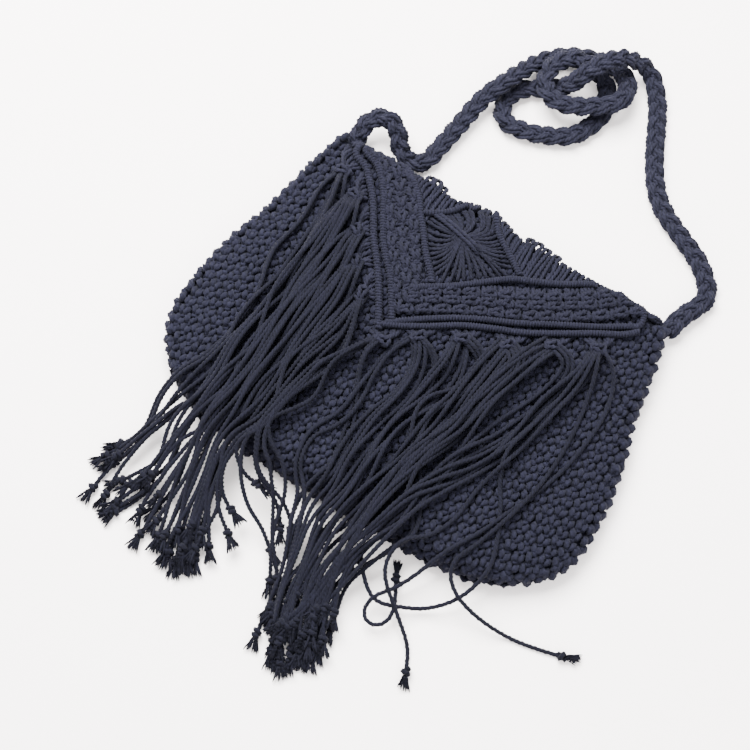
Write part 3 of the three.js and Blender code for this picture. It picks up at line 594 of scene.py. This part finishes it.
knots = []
for side, rows in knot_rows.items():
    pitch = knot_pitch[side]
    middles = np.arange(-1, 16) * pitch
    insets, places, lifts = [7.5], [band_cords], [0.2]
    for inset, half_step in rows:
        centre = half_step * np.sign(band_cords) * pitch / 2
        drawn_in = centre + knot_tightness * (band_cords - centre)
        insets += [inset - 1.8, inset + 2.2]
        places += [drawn_in, drawn_in]
        lifts += [-0.2, 0.1]
        shifted = middles + half_step * pitch / 2
        tied = on_band(side, shifted, knot_across, inset + knot_down, knot_rise)
        knots.append(laid(tied, 12, knot_cord))
    insets, places, lifts = insets + [31], places + [band_cords], lifts + [0.2]
    through = on_band(side, middles, np.transpose(places), np.array(insets), np.array(lifts))
    knots.append(laid(through, 22, band_cord))
piece("flap_knots", knots, navy_macrame, "macrame")

# The diamond. Cords from all four of its sides are drawn together in its middle under two cords that
# cross from the inner ridge; those from the fold bow out as they come down.
diamond_middle = np.array([-16.0, -18.5])
ray_cord, ray_shade = 1.15, -0.5
diamond_sides = [((-41, -21), (-37, -13), 3, -0.6), ((-36, -11), (-29, -3), 4, 2.0),
                 ((-28, -2), (-20, 3), 4, 4.2), ((-19, 3.5), (-4, 7), 6, 6.5), ((-2, 4), (23, -18), 9, 3.5),
                 ((23, -23), (-13, -51), 10, -1.0), ((-17, -50), (-41, -23), 10, -2.5)]
rays = []
for start, end, count, swirl in diamond_sides:
    share = ((np.arange(count) + 0.5) / count)[:, None]
    rim = np.array(start) * (1 - share) + np.array(end) * share + 0.3 * rng.standard_normal((count, 2))
    way = diamond_middle - rim
    turned = np.stack([-way[:, 1], way[:, 0]], -1)
    turned = turned / np.linalg.norm(way, axis=1, keepdims=True)
    hub = diamond_middle - unit(way) * (4.0, 1.6)
    swirls = swirl + 0.5 * rng.standard_normal((count, 1))
    rays += [np.stack([rim, rim + 0.35 * way + swirls * turned, rim + 0.7 * way + 0.7 * swirls * turned, hub,
                       diamond_middle + 0 * rim], 1)]
rays = np.concatenate(rays)
ray_uneven = 0.45 * rng.standard_normal((len(rays), 1)) * (0, 0.6, 1, 1, 0)
ray_lift = np.array([-0.5, 0.2, 0.9, 1.7, 0.4]) + ray_uneven
rays = np.concatenate([rays, ray_lift[..., None]], -1)
bar = np.array([
    (-41, -14, 0.3), (-33.5, -14.5, 1.8), (-21.3, -17.2, 3.4), (-8, -20.5, 3.4), (-1.5, -22.5, 0.6),
])
bars = [bar, bar + (0.9, 2.2, 0.0)]
piece("flap_diamond", [laid(rays, 20, ray_cord, ray_shade), laid(bars, 30)], navy_macrame, "macrame")

# The gathering knots. Under the outer ridge the flap's cotton cords gather in groups of nine; each group
# crosses over itself and is tied in one large square knot before it hangs as fringe.
gathers = {
    -1: [(-99.6, -18.2), (-84.1, -29.1), (-70.4, -48.5), (-60.6, -66.3), (-46.0, -81.5)],
    1: [(-21.5, -98.5), (-5.2, -85.7), (17.3, -73.0), (41.6, -62.1), (63.9, -48.1), (87.8, -34.4)],
}
gather_along = np.array([
    (-8, 1.5), (-5, -2.5), (-2, 0.5), (1, 2.5), (4.5, -1.5), (-6.5, -3), (-11.5, 3), (7.5, -3), (-9.8, -1),
])
gather_lift = np.array(
    [(-0.9, -0.4, 0.6, -1.0)] * 4 + [(-0.4, 0.9, 1.8, -1.0)] * 2 + [(-1.0, 0.2, 1.0, -1.0)] * 3
)
gather_lean = {-1: -5.0, 1: 0.0}
gather_knot, gather_knot_cord, gather_knot_lift = 0.95, 1.35, 3.1
gathered = []
for side, places in gathers.items():
    ridge_line = arm(side, np.linspace(0, 1, 200), np.zeros(200))
    for place in np.array(places):
        near = np.argmin(np.linalg.norm(ridge_line - place, axis=1))
        root, way = ridge_line[near], unit(ridge_line[min(near + 4, 199)] - ridge_line[max(near - 4, 0)])
        out = unit(place - root)
        starts = root + (gather_along[:, :1] + gather_lean[side]) * way + 1.2 * out
        ends = place + gather_along[:, 1:] * way
        middle = 0.45 * starts + 0.55 * ends + 0.3 * (starts - root)
        cords = np.stack([starts, middle, ends, ends + 3.5 * out], 1)
        gathered.append(laid(np.concatenate([cords, gather_lift[..., None]], -1), 12))
        across, down, rise = (gather_knot * part[..., None] for part in (knot_across, knot_down, knot_rise))
        turn = rng.uniform(-0.5, 0.5)
        way, out = np.cos(turn) * way + np.sin(turn) * out, np.cos(turn) * out - np.sin(turn) * way
        knot = place + across * way + (down + 1.0) * out
        gathered.append(laid(np.concatenate([knot, rise + gather_knot_lift], -1), 14, gather_knot_cord))
piece("fringe_knots", gathered, navy_macrame, "macrame")

# The fringe. Each cord hangs from its gathering knot down over the front, falls off the pouch's bottom
# edge and lies on the table, over the cords laid before it. It ends in an overhand knot and a frayed tuft.
# A row of the routes: cords, and the places that they pass.
left_routes = [
    (2, [(-100, -17), (-107, -36), (-105, -65), (-106, -85), (-102, -112), (-104, -142), (-107, -161),
        (-113, -175), (-115, -193), (-112, -215), (-121, -233), (-132, -246)]),
    (2, [(-100, -17), (-96, -48), (-94, -77), (-93, -99), (-95, -129), (-97, -163), (-103, -185),
        (-106, -200), (-110, -217), (-116, -233), (-124, -247)]),
    (3, [(-100, -17), (-91, -49), (-90, -93), (-92, -128), (-95, -155), (-94, -183), (-101, -193),
        (-109, -218), (-117, -247), (-117, -263)]),
    (3, [(-85, -28), (-88, -58), (-88, -85), (-91, -119), (-94, -147), (-93, -179), (-96, -203),
        (-93, -223), (-101, -240), (-108, -251)]),
    (4, [(-85, -28), (-84, -59), (-85, -90), (-84, -126), (-86, -153), (-86, -185), (-88, -212),
        (-86, -236), (-91, -250), (-99, -267)]),
    (4, [(-85, -28), (-79, -57), (-77, -96), (-80, -131), (-82, -161), (-83, -190), (-86, -215),
        (-88, -233), (-89, -252), (-87, -261)]),
    (4, [(-71, -48), (-74, -68), (-76, -110), (-77, -140), (-79, -170), (-82, -195), (-76, -219),
        (-74, -240), (-73, -258), (-73, -270)]),
    (4, [(-71, -48), (-68, -72), (-67, -112), (-69, -146), (-71, -176), (-73, -199), (-68, -224),
        (-66, -244), (-63, -263), (-60, -273)]),
    (4, [(-61, -65), (-63, -91), (-66, -122), (-68, -154), (-68, -181), (-70, -200), (-65, -226),
        (-61, -245), (-56, -263), (-53, -272)]),
    (4, [(-61, -65), (-57, -91), (-59, -125), (-60, -155), (-62, -181), (-65, -201), (-61, -224),
        (-59, -240), (-54, -258), (-50, -266)]),
    (4, [(-47, -81), (-49, -108), (-54, -136), (-56, -159), (-57, -181), (-62, -197), (-61, -218),
        (-57, -237), (-54, -254), (-52, -264)]),
    (1, [(-47, -81), (-43, -111), (-48, -136), (-52, -157), (-54, -179), (-61, -195), (-60, -215),
        (-51, -231), (-38, -241)]),
    (1, [(-47, -81), (-39, -112), (-44, -135), (-50, -155), (-52, -175), (-58, -193), (-59, -212),
        (-51, -225), (-43, -229)]),
    (1, [(-47, -81), (-37, -115), (-42, -136), (-47, -155), (-51, -177), (-56, -192), (-49, -209),
        (-36, -222), (-23, -228), (-12, -236)]),
    (1, [(-47, -81), (-36, -118), (-40, -137), (-47, -157), (-51, -181), (-59, -197), (-48, -208),
        (-38, -209)]),
]
right_routes = [
    (2, [(-23, -97), (-34, -115), (-43, -131), (-46, -146), (-52, -162), (-54, -179), (-47, -193),
        (-42, -201), (-32, -206), (-21, -209), (-9, -219), (-3, -236)]),
    (2, [(-23, -97), (-32, -116), (-39, -131), (-40, -147), (-45, -163), (-49, -176), (-41, -189),
        (-34, -192), (-22, -206), (-12, -228), (-1, -245), (3, -252)]),
    (2, [(-23, -97), (-24, -114), (-18, -132), (-12, -153), (-8, -179), (-11, -193), (-10, -209),
        (-7, -228), (4, -246), (7, -266), (8, -274)]),
    (2, [(-6, -85), (-14, -102), (-16, -119), (-19, -147), (-29, -168), (-27, -184), (-23, -191),
        (-13, -200), (-6, -217), (0, -238), (5, -260), (11, -281)]),
    (4, [(-6, -85), (2, -99), (3, -120), (-1, -143), (-1, -167), (1, -187), (-1, -201), (4, -223),
        (8, -249), (15, -270), (23, -286)]),
    (2, [(-6, -85), (12, -95), (17, -118), (23, -138), (32, -153), (44, -170), (54, -188), (50, -194),
        (42, -208), (32, -229), (34, -250), (39, -268)]),
    (5, [(17, -72), (21, -92), (18, -115), (12, -141), (9, -170), (10, -191), (7, -210), (10, -232),
        (14, -252), (22, -272), (32, -287)]),
    (3, [(17, -72), (34, -81), (32, -102), (25, -121), (27, -137), (31, -150), (29, -174), (25, -203),
        (20, -230), (17, -253), (9, -271)]),
    (5, [(41, -61), (39, -86), (36, -111), (31, -137), (23, -164), (20, -193), (18, -216), (18, -243),
        (24, -263), (33, -283)]),
    (4, [(41, -61), (53, -71), (49, -95), (41, -121), (35, -150), (30, -180), (25, -206), (24, -235),
        (28, -258), (36, -277)]),
    (5, [(64, -47), (56, -71), (49, -96), (45, -126), (39, -149), (36, -169), (31, -198), (26, -225),
        (29, -250), (38, -272)]),
    (3, [(64, -47), (79, -55), (76, -78), (65, -108), (54, -136), (48, -158), (41, -185), (36, -198),
        (30, -222), (32, -246), (42, -268)]),
    (4, [(88, -33), (87, -59), (79, -82), (73, -112), (63, -139), (52, -156), (43, -170), (38, -187),
        (32, -210), (28, -236), (23, -254), (16, -272)]),
    (1, [(88, -33), (85, -72), (79, -99), (75, -119), (79, -132), (88, -146), (96, -162), (101, -177),
        (101, -186), (95, -203), (84, -215), (69, -224), (55, -229), (46, -224), (37, -215)]),
    (1, [(88, -33), (104, -44), (111, -64), (111, -86), (107, -112), (97, -140), (86, -166),
        (74, -188), (69, -201), (62, -215), (53, -228), (52, -237), (57, -242), (64, -240),
        (68, -233), (65, -223), (58, -211)]),
    (1, [(88, -33), (90, -60), (85, -92), (80, -116), (72, -145), (70, -167), (61, -185), (52, -192),
        (49, -204), (52, -214), (61, -222), (73, -231), (85, -241), (91, -253)]),
    (1, [(88, -33), (97, -59), (102, -92), (101, -124), (95, -152), (88, -173), (82, -188), (85, -196),
        (95, -203), (112, -206), (131, -205), (147, -202), (162, -198)]),
]
cord_spacing, cord_slack, rise_run, pile_deepest = 2.7, 0.4, 15, 12.0
cord_reach, over_stitches = 1.24 * cord_radius, 0.6
cord_stray = np.array([0.8, 1.7, 2.1, 2.4, 2.6, 2.8, 3.6])
shortest, route_points = 0.11, 220
bundle_width = np.interp(np.linspace(0, 1, 160), (0, 0.15, 0.5, 0.75, 1), (0.8, 1.1, 1.05, 0.8, 1.25))
pile_low, pile_high, pile_step = np.array([-190.0, -330.0]), np.array([210.0, 20.0]), 0.5
pile_x, pile_y = np.meshgrid(*(np.arange(a, b, pile_step) for a, b in zip(pile_low, pile_high)), indexing="ij")
bed = front(pile_x, pile_y) + cord_reach + over_stitches * (pile_y > -pouch_height)
piled = bed.copy()
dab = np.array([(a, b) for a in range(-5, 6) for b in range(-5, 6)])
dab_off = np.linalg.norm(dab, axis=1) * pile_step


def lay_down(line, radius):
    """Levels of a cord laid over what lies there already. A cord of the pile lifts it by the root of the
    squared diameter less the squared distance. The slack cord leaves a high place at no more than two in
    five, and a deep pile sinks into itself: its height is its most times tanh of its share of that."""
    cell = ((line - pile_low) / pile_step).round().astype(int)[:, None] + dab
    cell = np.clip(cell, 0, np.array(piled.shape) - 1)
    here, under = piled[cell[..., 0], cell[..., 1]], bed[cell[..., 0], cell[..., 1]]
    ground, cords = under.max(1), here > under + 1e-6
    lift = np.sqrt(np.clip((2 * radius) ** 2 - dab_off ** 2, 0, None))
    below = np.maximum(np.where(cords & (dab_off < 2 * radius), here + lift, 0).max(1), ground)
    run = np.r_[0, np.cumsum(np.linalg.norm(np.diff(line, axis=0), axis=1))]
    slack = cord_slack * np.abs(run[:, None] - run)
    ground, below = (ground - slack).max(1), (below - slack).max(1)
    level = ground + pile_deepest * np.tanh((below - ground) / pile_deepest)
    level = np.convolve(np.pad(level, 3, mode="edge"), np.full(7, 1 / 7), "valid")
    axis = dab_off < 0.8
    np.maximum.at(piled, (cell[:, axis, 0], cell[:, axis, 1]), level[:, None] + 0 * dab_off[axis])
    return level


def fringe(routes, points=160):
    """Lines of all the cords of some routes: a route, moved across itself by the cord's place in its
    bundle, which wanders more the further down it is, so that cords cross; its length a little uneven;
    at the levels that it comes to lie on, though its first 15 mm rise out of the gathering knot."""
    lines = []
    soften = np.hanning(19)[1:-1] / np.hanning(19).sum()
    wander = weights(7, points)
    for count, route in routes:
        for cord in range(count):
            line = np.pad(smooth(route, route_points), ((8, 8), (0, 0)), mode="reflect", reflect_type="odd")
            line = np.stack([np.convolve(column, soften, "valid") for column in line.T], -1)
            shortened = shortest * rng.random() ** 1.6 * (count > 1)
            line = line[:int(route_points * (1 - shortened))]
            line = spaced(np.vstack([line[0] - 3 * unit(line[4] - line[0]), line]), points)
            way = unit(np.gradient(line, axis=0))
            across = np.stack([-way[:, 1], way[:, 0]], -1)
            place = (cord - (count - 1) / 2) * cord_spacing
            stray = (count > 1) * rng.standard_normal(7) * cord_stray
            line = line + (place * bundle_width + stray @ wander.T)[:, None] * across
            level = lay_down(line, cord_radius)
            low = front(line[:, 0], line[:, 1]) + cord_radius + over_stitches
            run = np.linalg.norm(line - line[0], axis=1)
            level = low + (level - low) * np.clip(run / rise_run, 0.05, 1)
            lines.append(np.column_stack([line, level]))
    return np.array(lines)


end_turns, end_knot, end_cord, end_lift = 1.6, 1.75, 1.45, 3.5
tuft_yarns, tuft_yarn, tuft_lift = 19, 0.52, 0.7


def ends(lines):
    """An overhand knot and a tuft at each cord's end: a turn and a half of the cord round itself, and a
    fan of thin yarns beyond it that opens and droops to the table."""
    tip, way = lines[:, -1], unit(lines[:, -1] - lines[:, -6])
    way[:, 2] = 0
    way = unit(way)
    side = np.stack([way[:, 1], -way[:, 0], 0 * way[:, 0]], -1)
    up = np.zeros_like(way) + (0, 0, 1)
    t = np.linspace(0, 1, 15)[None, :, None]
    spin = 2 * np.pi * (end_turns * t + rng.random((len(lines), 1, 1)))
    out = np.cos(spin) * side[:, None] + np.sin(spin) * up[:, None]
    middle = tip.copy()
    middle[:, 2] = np.maximum(middle[:, 2], end_lift)
    turns = middle[:, None] + (4.6 * t - 2.3) * way[:, None] + end_knot * out
    knot = rope(turns, end_cord, out, turn=9.0, swell=0.14)
    t = np.linspace(0, 1, 5)[None, None, :, None]
    fan = rng.uniform(-1, 1, (len(lines), tuft_yarns, 1, 1))
    rise = rng.uniform(-1, 1, (len(lines), tuft_yarns, 1, 1))
    long = rng.uniform(7.0, 9.6, (len(lines), tuft_yarns, 1, 1))
    start = middle[:, None, None] + 1.6 * way[:, None, None]
    yarn = start + long * t * way[:, None, None] + (fan * (1.2 + 0.4 * long * t ** 1.2)) * side[:, None, None]
    yarn = yarn + (rise * (1 + 0.6 * t) - 1.2 * t ** 2) * up[:, None, None]
    yarn[..., 2] = np.maximum(yarn[..., 2], tuft_lift)
    yarn = yarn.reshape(-1, 5, 3)
    return knot, rope(yarn, tuft_yarn, turn=3.0, swell=0.2)


# The fringe hangs from the flap's own cords but gets a far darker blue than the flap's, as painted shade for
# the dark gaps between the piled cords.
navy_fringe_painted_shade = cotton("navy_fringe_painted_shade", (0.0005, 0.0005, 0.0016), (0.0052, 0.0053, 0.0113))
for side, routes in (("left", left_routes), ("right", right_routes)):
    lines = fringe(routes)
    cords = rope(lines, cord_radius, swell=0.19)
    piece("fringe_cords_" + side, [cords], navy_fringe_painted_shade, "fringe_cord", "fringe_" + side)
    piece("fringe_ends_" + side, ends(lines), navy_fringe_painted_shade, "fringe_cord")

# The table that the bag lies on, covered in pale, slightly warm cloth. It is one wide plain square at
# height 0, with no mark of its own.
floor_mesh = bpy.data.meshes.new("floor")
floor_mesh.from_pydata([(-4, -4, 0), (4, -4, 0), (4, 4, 0), (-4, 4, 0)], [], [(0, 1, 2, 3)])
floor = bpy.data.objects.new("floor", floor_mesh)
bpy.context.scene.collection.objects.link(floor)
pale = bpy.data.materials.new("pale_floor")
pale.use_nodes = True
pale.node_tree.nodes["Principled BSDF"].inputs["Base Color"].default_value = (0.995, 0.94, 0.92, 1)
pale.node_tree.nodes["Principled BSDF"].inputs["Roughness"].default_value = 0.9
floor_mesh.materials.append(pale)

# Studio light: a wide soft lamp high on the upper left, a weaker one from the lower right, and an even
# pale sky.
lamps = [("key", (-520, 300, 1100), 900, 118.0), ("fill", (700, -500, 900), 900, 12.0)]
lit_place = Vector(from_mouth((-10, -90, 0)))
for name, place, size, power in lamps:
    lamp = bpy.data.objects.new(name, bpy.data.lights.new(name, "AREA"))
    lamp.data.energy = power
    lamp.data.size = size / 1000
    lamp.location = from_mouth(place)
    lamp.rotation_euler = (lit_place - lamp.location).to_track_quat("-Z", "Y").to_euler()
    bpy.context.scene.collection.objects.link(lamp)
sky = bpy.data.worlds.new("sky")
sky.use_nodes = True
sky.node_tree.nodes["Background"].inputs["Color"].default_value = (0.97, 0.97, 1.0, 1)
sky.node_tree.nodes["Background"].inputs["Strength"].default_value = 2.1
bpy.context.scene.world = sky
